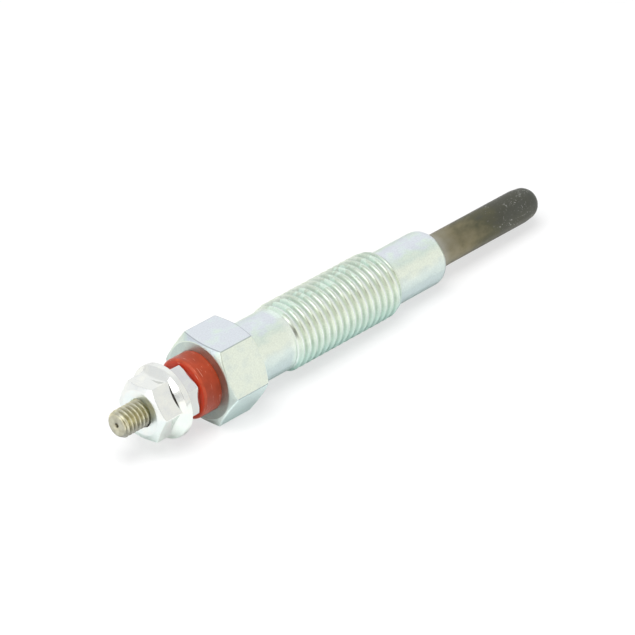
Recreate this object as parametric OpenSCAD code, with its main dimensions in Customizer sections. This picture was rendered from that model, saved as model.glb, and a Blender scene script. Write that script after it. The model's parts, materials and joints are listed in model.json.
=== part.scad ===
// Diesel glow plug, lying on one flat of its hexagon.
// The axis of the plug runs along +X from the free end of the terminal stud to the tip of the heater.
// Z = 0 is the lower flat of the hexagon, and the origin is below the middle of the plug's length.
// Each sub-part is drawn upright along +Z, counted from the free end of the stud, and then laid on the axis.

/* [Centre rod] */
// Crest diameter of the stud's thread
stud_d = 3.9; // [3.2:0.05:5]
// Length of the stud that stands proud of the terminal nut
stud_reach = 4.2; // [2:0.1:10]
// Length of the stud's thread that runs on into the bush
stud_in_bush = 1; // [0.2:0.1:3]
// Chamfer at the free end of the stud
stud_chamfer = 0.35; // [0.1:0.05:0.8]
// Diameter of the centre mark in the stud's end face
centre_mark_d = 0.7; // [0.3:0.1:1.5]
// Diameter of the rod inside the shell
rod_d = 3.4; // [2.9:0.05:4.2]
// Diameter of the rod inside the heater tube
tail_d = 2.8; // [2.3:0.05:3.4]
// Diameter of the pin that the control coil is wound on
pin_d = 2; // [1.4:0.05:2.2]
// Length of the pin inside the control coil
pin_grip = 2.2; // [1:0.1:5]

/* [Terminal nut] */
// Width of the terminal nut across its flats
nut_af = 8; // [7:0.1:10]
// Height of the terminal nut with its flange
nut_height = 4.6; // [3.5:0.1:7]
// Diameter of the flange
flange_d = 10.7; // [10:0.1:14]
// Thickness of the flange at its rim
flange_rim = 0.9; // [0.4:0.05:1.5]
// Height of the flange's cone above the rim
flange_rise = 0.5; // [0.2:0.05:1.2]
// Bevel on the two edges of the flange's rim
flange_bevel = 0.12; // [0.05:0.01:0.2]
// Inset of the front face's round edge from the flats
nut_inset = 0.7; // [0.2:0.05:1]
// Angle of the chamfer on the front corners
nut_chamfer_angle = 20; // [15:1:35]
// Turn of the nut about the plug's axis
nut_turn = 22; // [0:1:60]

/* [Jam nut] */
// Width of the jam nut across its flats
jam_af = 7; // [6.5:0.1:9]
// Thickness of the jam nut
jam_height = 3.2; // [2:0.1:5]
// Inset of the end faces' round edges from the flats
jam_inset = 0.1; // [0.05:0.05:0.5]
// Angle of the chamfers on the corners
jam_chamfer_angle = 22; // [15:1:35]
// Turn of the nut about the plug's axis
jam_turn = 56; // [0:1:60]

/* [Insulating bush] */
// Diameter of the bush
bush_d = 8.8; // [7.5:0.1:10.5]
// Length of the bush outside the shell
bush_length = 3.1; // [2:0.1:8]
// Rounding of the bush's outer edges
bush_round = 0.5; // [0.1:0.05:0.8]
// Length of the bush's spigot in the shell
spigot_length = 3.5; // [2:0.1:6]

/* [Shell] */
// Width of the hexagon across its flats
hex_af = 12; // [11:0.1:17]
// Length of the hexagon
hex_length = 7; // [5:0.1:12]
// Inset of the hexagon's round end edges from the flats
hex_inset = 0.3; // [0.1:0.05:0.6]
// Angle of the chamfer at the bush's end of the hexagon
hex_front_angle = 23; // [15:1:35]
// Angle of the chamfer at the shank's end of the hexagon
hex_rear_angle = 30; // [15:1:35]
// Diameter of the plain shank
shank_d = 9.05; // [8:0.05:10]
// Length of the plain shank
shank_length = 6.3; // [3:0.1:20]
// Crest diameter of the shell's thread
thread_d = 9.9; // [9.2:0.05:12]
// Length of the thread with its run-out and its lead
thread_length = 21.8; // [12:0.1:35]
// Length of the thread's run-out at the shank
thread_runout = 1.4; // [0.5:0.1:3]
// Length of the thread's rounded lead at the nose
thread_lead = 2.4; // [0.8:0.1:4]
// Diameter of the nose
nose_d = 8.15; // [7:0.05:9]
// Length of the nose
nose_length = 10.25; // [6:0.05:20]
// Radius of the rounding at the end of the nose
nose_round = 1.8; // [1.6:0.1:6]
// Diameter of the counterbore for the spigot and the O-ring
counterbore_d = 6.4; // [5.8:0.1:7.2]

/* [Heater] */
// Diameter of the heater tube
heater_d = 5; // [4.6:0.1:6]
// Length of the heater tube that stands out of the nose
heater_reach = 21.65; // [19:0.05:30]
// Whole length of the heater tube
heater_length = 38; // [34:0.1:48]
// Wall of the heater tube
heater_wall = 0.5; // [0.3:0.05:0.6]
// Thickness of the welded tip at the axis
tip_thickness = 1.3; // [0.8:0.1:2]
// Length of the rubber seal in the tube's mouth
seal_length = 2.5; // [1:0.1:5]
// Diameter of the heating coil's wire
heating_wire_d = 0.4; // [0.25:0.01:0.5]
// Length of the heating coil
heating_length = 7.2; // [5:0.1:9]
// Number of turns in the heating coil
heating_turns = 8; // [5:1:9]
// Diameter of the control coil's wire
control_wire_d = 0.36; // [0.25:0.01:0.5]
// Length of the control coil
control_length = 8; // [6:0.1:10]
// Number of turns in the control coil
control_turns = 10; // [6:1:11]
// Length of the wire that leads from the heating coil to the tip
lead_length = 2; // [1.5:0.1:3]

/* [Fits] */
// Radial clearance between the nuts' bores and the stud's crests
nut_clearance = 0.05; // [0.02:0.01:0.2]
// Bevel at the mouths of the nuts' bores
nut_mouth = 0.25; // [0.1:0.05:0.4]
// Radial clearance between the bush's bore and the stud
bush_clearance = 0.1; // [0.05:0.01:0.3]
// Radial clearance between the spigot and the counterbore
spigot_clearance = 0.05; // [0.02:0.01:0.2]
// Radial air gap between the rod and the shell
rod_air_gap = 0.6; // [0.3:0.05:0.7]
// Distance from the rod's shoulder to the mouth of the heater tube
shoulder_gap = 1; // [0.3:0.1:3]
// Distance from the pin's shoulder to the first turn of the control coil
pin_gap = 0.6; // [0.3:0.1:2]

/* [Hidden] */
$fn = 96;

// Colours of the finishes
zinc_plate = [0.83, 0.86, 0.84];
bright_zinc = [0.88, 0.90, 0.89];
rod_steel = [0.56, 0.55, 0.50];
red_moulding = [0.66, 0.19, 0.14];
black_rubber = [0.10, 0.10, 0.10];
heater_alloy = [0.31, 0.30, 0.25];
coil_alloy = [0.62, 0.50, 0.36];
pressed_powder = [0.92, 0.91, 0.86];

// How far a cutting shape runs past the solid that it cuts
overrun = 0.1;
// Straight stretches in a quarter of a rounded edge
round_steps = 6;
// Straight stretches in one turn of a coil
turn_steps = 8;
// Straight stretches in the wire that leads from the heating coil to the tip
lead_steps = 8;
// Turns that the leading wire makes on its way to the axis
lead_turns = 0.75;
// Share of the leading wire's length that lies straight on the axis
lead_straight = 0.25;
// Flats round a coil's wire
wire_sides = 6;

// Stations along the axis, counted from the free end of the stud
z_nut = stud_reach;
z_jam = z_nut + nut_height;
z_bush = z_jam + jam_height;
z_hex = z_bush + bush_length;
z_shank = z_hex + hex_length;
z_thread = z_shank + shank_length;
z_nose = z_thread + thread_length;
z_nose_end = z_nose + nose_length;
z_tip = z_nose_end + heater_reach;
z_tube = z_tip - heater_length;
z_dome = z_tip - heater_d / 2;
z_weld = z_tip - tip_thickness;
z_lead = z_weld - lead_length;
z_coil_joint = z_lead - heating_length;
z_control = z_coil_joint - control_length;
z_pin = z_control - pin_gap;
z_stud_end = z_bush + stud_in_bush;
z_shoulder = z_tube - shoulder_gap;
z_spigot_end = z_hex + spigot_length;

// Fits that follow from the pieces inside them
nut_bore_d = stud_d + 2 * nut_clearance;
bush_bore_d = max(stud_d, rod_d) + 2 * bush_clearance;
spigot_d = counterbore_d - 2 * spigot_clearance;
o_ring_section = (counterbore_d - rod_d) / 2;
z_counterbore_end = z_spigot_end + o_ring_section;
rod_bore_d = rod_d + 2 * rod_air_gap;
tube_bore_d = heater_d - 2 * heater_wall;
// The coils lie on the pin at the middle of each straight stretch of their turns
coil_r = (pin_d + control_wire_d) / 2 / cos(180 / turn_steps);

// Lays an upright sub-part on the axis of the plug.
module along_axis() translate([-z_tip / 2, 0, hex_af / 2]) rotate([0, 90, 0]) children();

// Points of an arc in the plane of a turned profile, as [radius, height].
function arc(centre, radius, from, to, steps) =
    [for (i = [0:steps]) let (a = from + (to - from) * i / steps) centre + radius * [cos(a), sin(a)]];

// Hexagon bar with a corner at the bottom before it is turned.
module hex_bar(across_flats, height, turn)
    rotate(turn) cylinder(d = across_flats / cos(30), h = height, $fn = 6);

// Envelope that chamfers the corners of a hexagon bar at its lower end.
module corner_chamfer(across_flats, height, inset, angle) {
    face_r = across_flats / 2 - inset;
    outer_r = across_flats / 2 / cos(30) + overrun;
    rotate_extrude() polygon([
        [0, 0],
        [face_r, 0],
        [outer_r, (outer_r - face_r) * tan(angle)],
        [outer_r, height],
        [0, height]
    ]);
}

// The same envelope for the upper end of the bar.
module upper_chamfer(across_flats, height, inset, angle)
    translate([0, 0, height]) mirror([0, 0, 1]) corner_chamfer(across_flats, height, inset, angle);

// Bore of a nut with a bevel at each mouth.
module nut_bore(height) {
    bore_r = nut_bore_d / 2;
    rotate_extrude() polygon([
        [0, -overrun],
        [bore_r + nut_mouth + overrun, -overrun],
        [bore_r, nut_mouth],
        [bore_r, height - nut_mouth],
        [bore_r + nut_mouth + overrun, height + overrun],
        [0, height + overrun]
    ]);
}

// Turned rod that is the terminal stud at one end and the coils' pin at the other.
module rod_solid() {
    stud_r = stud_d / 2;
    mark_r = centre_mark_d / 2;
    rotate_extrude() polygon([
        [0, mark_r],
        [mark_r, 0],
        [stud_r - stud_chamfer, 0],
        [stud_r, stud_chamfer],
        [stud_r, z_stud_end],
        [rod_d / 2, z_stud_end],
        [rod_d / 2, z_shoulder],
        [tail_d / 2, z_shoulder],
        [tail_d / 2, z_pin],
        [pin_d / 2, z_pin],
        [pin_d / 2, z_control + pin_grip],
        [0, z_control + pin_grip]
    ]);
}

module centre_rod() color(rod_steel) along_axis() rod_solid();

// Hexagon nut forged in one piece with its flange.
module terminal_nut() color(bright_zinc) along_axis() translate([0, 0, z_nut]) difference() {
    union() {
        intersection() {
            hex_bar(nut_af, nut_height, nut_turn);
            corner_chamfer(nut_af, nut_height, nut_inset, nut_chamfer_angle);
        }
        nut_flange();
    }
    nut_bore(nut_height);
}

// Coned flange of the terminal nut.
module nut_flange() {
    rim_r = flange_d / 2;
    rim_z = nut_height - flange_rim;
    rotate_extrude() polygon([
        [0, rim_z - flange_rise],
        [nut_af / 2, rim_z - flange_rise],
        [rim_r - flange_bevel, rim_z],
        [rim_r, rim_z + flange_bevel],
        [rim_r, nut_height - flange_bevel],
        [rim_r - flange_bevel, nut_height],
        [0, nut_height]
    ]);
}

module jam_nut() color(bright_zinc) along_axis() translate([0, 0, z_jam]) difference() {
    intersection() {
        hex_bar(jam_af, jam_height, jam_turn);
        corner_chamfer(jam_af, jam_height, jam_inset, jam_chamfer_angle);
        upper_chamfer(jam_af, jam_height, jam_inset, jam_chamfer_angle);
    }
    nut_bore(jam_height);
}

// Moulded bush that keeps the stud and its nuts off the shell.
module insulating_bush() color(red_moulding) along_axis() {
    outer_r = bush_d / 2;
    bore_r = bush_bore_d / 2;
    round_r = outer_r - bush_round;
    rotate_extrude() polygon(concat(
        [[bore_r, z_bush]],
        arc([round_r, z_bush + bush_round], bush_round, -90, 0, round_steps),
        arc([round_r, z_hex - bush_round], bush_round, 0, 90, round_steps),
        [[spigot_d / 2, z_hex], [spigot_d / 2, z_spigot_end], [bore_r, z_spigot_end]]
    ));
}

// Hexagon, shank, threaded length and nose, turned from one bar and bored right through.
module plug_shell() color(zinc_plate) along_axis() difference() {
    union() {
        translate([0, 0, z_hex]) intersection() {
            hex_bar(hex_af, hex_length, 30);
            corner_chamfer(hex_af, hex_length, hex_inset, hex_front_angle);
            upper_chamfer(hex_af, hex_length, hex_inset, hex_rear_angle);
        }
        rotate_extrude() polygon(shell_profile());
    }
    shell_bore();
}

// Outline of the shell behind the hexagon.
function shell_profile() =
    let (
        nose_r = nose_d / 2,
        crest_r = thread_d / 2,
        round_end_r = heater_d / 2,
        lead_drop = crest_r - nose_r,
        round_r = max(nose_round, nose_r - round_end_r),
        round_angle = acos((round_end_r - nose_r + round_r) / round_r),
        z_round = z_nose_end - round_r * sin(round_angle)
    )
    concat(
        [
            [0, z_hex + hex_length / 2],
            [shank_d / 2, z_hex + hex_length / 2],
            [shank_d / 2, z_thread],
            [crest_r, z_thread + thread_runout]
        ],
        [for (i = [0:round_steps]) let (a = 90 * i / round_steps)
            [nose_r + lead_drop * cos(a), z_nose - thread_lead * (1 - sin(a))]],
        [for (i = [0:round_steps]) let (a = round_angle * i / round_steps)
            [nose_r - round_r * (1 - cos(a)), z_round + round_r * sin(a)]],
        [[0, z_nose_end]]
    );

// Stepped bore: counterbore at the hexagon, air gap round the rod, and the seat of the heater tube.
module shell_bore() rotate_extrude() polygon([
    [0, z_hex - overrun],
    [counterbore_d / 2, z_hex - overrun],
    [counterbore_d / 2, z_counterbore_end],
    [rod_bore_d / 2, z_counterbore_end],
    [rod_bore_d / 2, z_tube],
    [heater_d / 2, z_tube],
    [heater_d / 2, z_nose_end + overrun],
    [0, z_nose_end + overrun]
]);

module o_ring() color(black_rubber) along_axis()
    translate([0, 0, z_spigot_end + o_ring_section / 2])
        rotate_extrude() translate([(rod_d + o_ring_section) / 2, 0]) circle(d = o_ring_section, $fn = 48);

// Closed sheath, pressed into the nose as far as the shoulder of the shell's bore.
module heater_tube() color(heater_alloy) along_axis() difference() {
    union() {
        translate([0, 0, z_tube]) cylinder(d = heater_d, h = z_dome - z_tube);
        translate([0, 0, z_dome]) sphere(d = heater_d);
    }
    heater_space(z_tube - overrun);
}

// Space inside the heater tube, from a station on the axis to the welded tip.
module heater_space(z_from) intersection() {
    union() {
        translate([0, 0, z_from]) cylinder(d = tube_bore_d, h = z_dome - z_from);
        translate([0, 0, z_dome]) sphere(d = tube_bore_d);
    }
    translate([0, 0, z_from]) cylinder(d = heater_d, h = z_weld - z_from);
}

module tube_seal() color(black_rubber) along_axis() translate([0, 0, z_tube]) difference() {
    cylinder(d = tube_bore_d, h = seal_length);
    translate([0, 0, -overrun]) cylinder(d = tail_d, h = seal_length + 2 * overrun);
}

// Directions at an angle round the axis.
function radial(angle) = [cos(angle), sin(angle), 0];
function around(angle) = [-sin(angle), cos(angle), 0];

// Stations of the wound part of a coil, as [radius, angle, height].
function wound(turns, z_from, length, angle_from) =
    [for (i = [0:turns * turn_steps]) let (t = i / (turns * turn_steps))
        [coil_r, angle_from + 360 * turns * t, z_from + length * t]];

// Stations of the wire that swings in from the heating coil's last turn and runs along the axis to the tip.
function led_to_tip(angle_from) =
    concat(
        [for (i = [1:lead_steps]) let (t = i / lead_steps)
            [coil_r * pow(1 - t, 2) * (1 + 2 * t),
             angle_from + 360 * lead_turns * t,
             z_lead + lead_length * (1 - lead_straight) * t * t]],
        [[0, angle_from + 360 * lead_turns, z_weld]]
    );

// Direction of the wire at one station, from the stations on either side of it.
function heading(stations, i) =
    let (
        before = stations[i - 1],
        here = stations[i],
        after = stations[i + 1],
        swing = (after[1] - before[1]) * PI / 180
    )
    (after[0] - before[0]) * radial(here[1]) + here[0] * swing * around(here[1])
        + [0, 0, after[2] - before[2]];

// Points round the wire at one station, square to its heading.
function wire_ring(station, direction, wire_d) =
    let (
        along = direction / norm(direction),
        across = cross(along, radial(station[1])),
        side = across / norm(across),
        out = cross(side, along),
        middle = station[0] * radial(station[1]) + [0, 0, station[2]]
    )
    [for (j = [0:wire_sides - 1]) let (a = 360 * j / wire_sides)
        middle + wire_d / 2 * (cos(a) * out + sin(a) * side)];

// The two triangles of one flat of the wire, between the ring that starts at a point and the next ring.
function wire_facets(first, j) =
    let (
        near = first + j,
        near_next = first + (j + 1) % wire_sides,
        far = near + wire_sides,
        far_next = near_next + wire_sides
    )
    [[near_next, near, far], [near_next, far, far_next]];

// Sweeps a round wire along its stations, with the direction of its last end face given.
module wire(stations, wire_d, last_direction) {
    last = len(stations) - 1;
    rings = [for (i = [0:last]) wire_ring(
        stations[i],
        i == 0 ? around(stations[0][1]) : i == last ? last_direction : heading(stations, i),
        wire_d
    )];
    polyhedron(
        points = [for (ring = rings) each ring],
        faces = concat(
            [[for (j = [0:wire_sides - 1]) j]],
            [for (i = [0:last - 1], j = [0:wire_sides - 1]) each wire_facets(i * wire_sides, j)],
            [[for (j = [wire_sides - 1:-1:0]) last * wire_sides + j]]
        )
    );
}

// Both coils turn on one radius, and the heating coil starts on the control coil's end face.
joint_angle = 360 * control_turns;
lead_angle = joint_angle + 360 * heating_turns;

module control_wire()
    wire(wound(control_turns, z_control, control_length, 0), control_wire_d, around(joint_angle));

module heating_wire()
    wire(
        concat(wound(heating_turns, z_coil_joint, heating_length, joint_angle), led_to_tip(lead_angle)),
        heating_wire_d,
        [0, 0, 1]
    );

module control_coil() color(coil_alloy) along_axis() control_wire();

module heating_coil() color(coil_alloy) along_axis() heating_wire();

// Powder pressed solid round the rod and the coils, from the seal to the welded tip.
module insulating_powder() color(pressed_powder) along_axis() difference() {
    heater_space(z_tube + seal_length);
    rod_solid();
    control_wire();
    heating_wire();
}

centre_rod();
terminal_nut();
jam_nut();
insulating_bush();
plug_shell();
o_ring();
heater_tube();
tube_seal();
control_coil();
heating_coil();
insulating_powder();
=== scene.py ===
"""Looks of a diesel glow plug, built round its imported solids.

The plug lies along +X, from the free end of its terminal stud to the tip of its heater.
Sizes are in millimetres, and the meshes are written in the frame's metres.
"""

from __future__ import annotations

import json
import logging
import math
from dataclasses import dataclass, replace
from enum import Enum
from typing import Callable, Optional, Sequence, Union

import bmesh
import bpy
import numpy as np
from mathutils import Matrix, Vector

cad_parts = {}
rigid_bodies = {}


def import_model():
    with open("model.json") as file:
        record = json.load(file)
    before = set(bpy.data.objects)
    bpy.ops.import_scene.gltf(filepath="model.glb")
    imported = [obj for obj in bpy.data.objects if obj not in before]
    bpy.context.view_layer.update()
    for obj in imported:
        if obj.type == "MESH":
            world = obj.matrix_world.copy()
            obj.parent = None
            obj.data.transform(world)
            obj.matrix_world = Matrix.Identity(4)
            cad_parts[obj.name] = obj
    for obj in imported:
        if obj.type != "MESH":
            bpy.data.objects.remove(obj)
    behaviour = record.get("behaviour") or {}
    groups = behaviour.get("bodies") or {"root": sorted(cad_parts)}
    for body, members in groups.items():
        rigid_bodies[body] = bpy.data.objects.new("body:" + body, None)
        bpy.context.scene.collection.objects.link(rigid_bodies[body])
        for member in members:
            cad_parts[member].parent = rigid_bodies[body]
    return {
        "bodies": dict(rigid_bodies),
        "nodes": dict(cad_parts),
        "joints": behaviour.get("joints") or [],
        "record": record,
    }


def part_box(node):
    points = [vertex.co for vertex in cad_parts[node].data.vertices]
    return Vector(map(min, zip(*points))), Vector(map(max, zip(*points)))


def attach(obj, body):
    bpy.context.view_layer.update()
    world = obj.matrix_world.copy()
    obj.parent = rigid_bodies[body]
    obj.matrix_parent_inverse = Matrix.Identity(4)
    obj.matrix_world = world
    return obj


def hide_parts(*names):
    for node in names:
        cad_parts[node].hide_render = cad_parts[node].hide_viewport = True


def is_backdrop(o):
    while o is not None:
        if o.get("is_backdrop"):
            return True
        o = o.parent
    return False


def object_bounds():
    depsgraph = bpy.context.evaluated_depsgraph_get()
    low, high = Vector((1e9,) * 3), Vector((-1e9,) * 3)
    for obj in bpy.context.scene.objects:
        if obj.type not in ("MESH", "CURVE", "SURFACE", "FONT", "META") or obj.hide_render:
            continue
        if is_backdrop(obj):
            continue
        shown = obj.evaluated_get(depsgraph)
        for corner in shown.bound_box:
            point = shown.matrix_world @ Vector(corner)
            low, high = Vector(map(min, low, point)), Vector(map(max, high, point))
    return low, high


LOG = logging.getLogger("glow_plug")

MM = 0.001
TURN = 2.0 * math.pi
# Sides of a hexagon, and half of the angle that one side fills
SIDES = 6
HALF_SIDE = math.pi / SIDES
# Body that every piece belongs to
BODY = "root"

# Rings in a softened edge, and the share of a side that a softened edge may take
SOFT_STEPS = 4
SOFT_SHARE = 0.45
# Edges that turn by more than this many degrees stay sharp
SHARP_ANGLE = 40.0
# Least gap between two corners that a length is divided by
LEAST_GAP = 1e-9
# Straight share of a thread's flank, between its rounded crest and root
STRAIGHT_FLANK = 0.55
# Share of a row's height within which a thread's points fall together with its end rings
SNAP_SHARE = 0.25
# Noise values that count as least and greatest, from the middle of the noise to nearly all of it
CORE = (0.35, 0.65)
MOST = (0.3, 0.7)
WHOLE = (0.25, 0.75)
# Shares that rise and fall along a range
RISE = (0.0, 1.0)
FALL = (1.0, 0.0)
# Least length across the axis that a direction is divided by
LEAST_ACROSS = 0.3

Socket = bpy.types.NodeSocket
Reach = Union[float, np.ndarray]
Pair = tuple[float, float]
Triple = tuple[float, float, float]
Stops = tuple[tuple[float, Triple], ...]
# Patches of noise per millimetre along X, Y and Z, and octaves of finer noise
Noise = tuple[Triple, float]


class Slot(str, Enum):
    """Material slots of the record."""

    ZINC_PLATE = "zinc_plate"
    BRIGHT_ZINC = "bright_zinc"
    ROD_STEEL = "rod_steel"
    RED_MOULDING = "red_moulding"
    HEATER_ALLOY = "heater_alloy"


class Blend(str, Enum):
    """Ways in which two colours are laid over each other."""

    MIX = "MIX"
    MULTIPLY = "MULTIPLY"


@dataclass(frozen=True)
class Span:
    """Stretch of the axis that a solid fills.

    Attributes:
        start: Station of the end nearer to the stud.
        end: Station of the end nearer to the heater's tip.
        reach: Half of the solid's width across the plug.
    """

    start: float
    end: float
    reach: float


class PlugFrame:
    """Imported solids, and where they lie on the axis of the plug."""

    def __init__(self) -> None:
        """Load the solids and keep their box."""
        self.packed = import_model()
        self.solid_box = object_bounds()
        low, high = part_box("plug_shell")
        self.axis_height = (low.z + high.z) / 2 / MM
        self.across_flats = (high.z - low.z) / MM

    def span(self, node: str) -> Span:
        """Measure one solid along the axis.

        Args:
            node: Name of the solid.

        Returns:
            Where the solid starts and ends, and how far it reaches sideways.
        """
        low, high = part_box(node)
        return Span(low.x / MM, high.x / MM, (high.y - low.y) / 2 / MM)


@dataclass(frozen=True)
class Hexagon:
    """Hexagon round the axis, with rounded corners.

    Attributes:
        across_flats: Width across the flats.
        corner_round: Radius of the corners.
        turn: Direction of one flat in degrees, from +Y towards +Z.
    """

    across_flats: float
    corner_round: float
    turn: float

    def _corner(self) -> Pair:
        """Work out the rounded corners.

        Returns:
            The distance of a corner's centre from the axis, and half the angle that the corner fills.
        """
        centre = (self.across_flats / 2 - self.corner_round) / math.cos(HALF_SIDE)
        across = self.corner_round * math.sin(HALF_SIDE)
        along = centre + self.corner_round * math.cos(HALF_SIDE)
        return centre, math.atan2(across, along)

    def columns(self, on_flat: int, on_corner: int) -> np.ndarray:
        """Spread the columns of a mesh round the hexagon.

        Args:
            on_flat: Columns on each flat, its two ends among them.
            on_corner: Columns between two flats.

        Returns:
            Angles of the columns in rising order, from 0 to a full turn.
        """
        half_corner = self._corner()[1]
        half_flat = HALF_SIDE - half_corner
        flat = np.linspace(-half_flat, half_flat, on_flat)
        corner = np.linspace(half_flat, half_flat + 2 * half_corner, on_corner + 2)[1:-1]
        sector = np.concatenate((flat, corner))
        starts = math.radians(self.turn) + even_columns(SIDES)
        return np.sort(np.mod(np.add.outer(starts, sector).ravel(), TURN))

    def radius(self, angles: np.ndarray) -> np.ndarray:
        """Measure the hexagon.

        Args:
            angles: Angles round the axis.

        Returns:
            The hexagon's distance from the axis at each angle.
        """
        centre, half_corner = self._corner()
        from_flat = np.mod(angles - math.radians(self.turn) + HALF_SIDE, 2 * HALF_SIDE) - HALF_SIDE
        from_corner = HALF_SIDE - np.abs(from_flat)
        flat = self.across_flats / 2 / np.cos(from_flat)
        inside = np.minimum(np.abs(from_corner), half_corner)
        corner = centre * np.cos(inside) + np.sqrt(self.corner_round**2 - (centre * np.sin(inside)) ** 2)
        return np.where(from_corner < half_corner, corner, flat)


def even_columns(count: int) -> np.ndarray:
    """Spread a number of columns evenly round the axis."""
    return np.arange(count) * TURN / count


@dataclass(frozen=True)
class Corner:
    """Corner of an outline that is turned about the axis.

    Attributes:
        station: Place along the axis, one for all columns or one for each.
        radius: Distance from the axis, one for all columns or one for each.
        soft: Length that the corner's rounding takes from both sides.
        share: Greatest share of a side that the rounding may take.
    """

    station: Reach
    radius: Reach
    soft: float = 0.0
    share: float = SOFT_SHARE

    def ring(self, columns: int) -> np.ndarray:
        """Spread the corner over the columns.

        Args:
            columns: Number of columns round the axis.

        Returns:
            Station and radius for every column.
        """
        pair = np.empty((columns, 2))
        pair[:, 0] = self.station
        pair[:, 1] = self.radius
        return pair


def towards(gap: np.ndarray, length: float, share: float) -> np.ndarray:
    """Shorten a gap to a length, or to the share of a side that a rounding may take.

    Args:
        gap: Station and radius from a corner to its neighbour, for every column.
        length: Length to keep.
        share: Greatest share to keep.

    Returns:
        The shortened gap.
    """
    whole = np.maximum(np.linalg.norm(gap, axis=1, keepdims=True), LEAST_GAP)
    return gap * np.minimum(length / whole, share)


def softened(corners: Sequence[Corner], columns: int) -> list[np.ndarray]:
    """Turn an outline into rings, with its soft corners rounded.

    Args:
        corners: Corners in order. The first and the last one stay sharp.
        columns: Number of columns round the axis.

    Returns:
        Station and radius for every column of every ring.
    """
    marks = [corner.ring(columns) for corner in corners]
    rings = []
    for index, corner in enumerate(corners):
        here = marks[index]
        if corner.soft <= 0:
            rings.append(here)
            continue
        before = here + towards(marks[index - 1] - here, corner.soft, corner.share)
        after = here + towards(marks[index + 1] - here, corner.soft, corner.share)
        for t in np.linspace(0, 1, SOFT_STEPS + 1):
            rings.append((1 - t) ** 2 * before + 2 * t * (1 - t) * here + t**2 * after)
    return rings


def arc(
    station: float, radius: float, size: float, sweep: Pair, steps: int, stretch: float = 1.0
) -> list[Corner]:
    """Make the corners of a round stretch of an outline.

    Args:
        station: Station of the arc's centre.
        radius: Distance of the arc's centre from the axis.
        size: Radius of the arc.
        sweep: First and last angle in degrees, from outwards towards +X.
        steps: Number of straight stretches.
        stretch: How much longer than round the arc is along the axis.

    Returns:
        Corners along the arc, its two ends among them.
    """
    angles = np.radians(np.linspace(sweep[0], sweep[1], steps + 1))
    return [Corner(station + size * stretch * math.sin(a), radius + size * math.cos(a)) for a in angles]


@dataclass(frozen=True)
class ScrewThread:
    """Rolled right-hand thread.

    Attributes:
        crest: Radius at the crests.
        root: Radius at the roots.
        pitch: Distance between two crests.
        first_crest: Distance from the thread's start to a crest, on the side that faces +Y.
        crest_share: Share of the pitch that a crest fills.
        root_share: Share of the pitch that a root fills.
        rows: Rows of points in one pitch.
    """

    crest: float
    root: float
    pitch: float
    first_crest: float
    crest_share: float
    root_share: float
    rows: int

    def radius(self, row: int) -> float:
        """Measure one row of the thread.

        Args:
            row: Number of the row, counted from the thread's start.

        Returns:
            Radius of the row.
        """
        from_crest = abs((row / self.rows - self.first_crest / self.pitch + 0.5) % 1 - 0.5)
        flank = 0.5 - (self.crest_share + self.root_share) / 2
        fall = min(max((from_crest - self.crest_share / 2) / flank, 0), 1)
        rounded = fall * fall * (3 - 2 * fall)
        depth = STRAIGHT_FLANK * fall + (1 - STRAIGHT_FLANK) * rounded
        return self.crest + (self.root - self.crest) * depth

    def mate(self, gap: float, ahead: float) -> ScrewThread:
        """Make the thread of a nut that is screwed on.

        Args:
            gap: Clearance all round.
            ahead: Distance from the start of the nut's thread to the start of this one.

        Returns:
            The nut's thread.
        """
        first_crest = (self.first_crest + ahead) % self.pitch
        return replace(self, crest=self.crest + gap, root=self.root + gap, first_crest=first_crest)


def eased(share: np.ndarray) -> np.ndarray:
    """Ease a share in and out between 0 and 1."""
    kept = np.clip(share, 0, 1)
    return kept * kept * (3 - 2 * kept)


def lesser(first: np.ndarray, second: np.ndarray, soft: float) -> np.ndarray:
    """Give the lesser of two sizes, with a soft change from one to the other."""
    gap = np.clip(0.5 + (second - first) / (2 * soft), 0, 1)
    return second + (first - second) * gap - soft * gap * (1 - gap)


def placed(name: str, data: bpy.types.ID) -> bpy.types.Object:
    """Make an object and put it in the scene.

    Args:
        name: Name of the object.
        data: Mesh, lamp or camera that it shows.

    Returns:
        The object.
    """
    thing = bpy.data.objects.new(name, data)
    bpy.context.scene.collection.objects.link(thing)
    return thing


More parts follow.
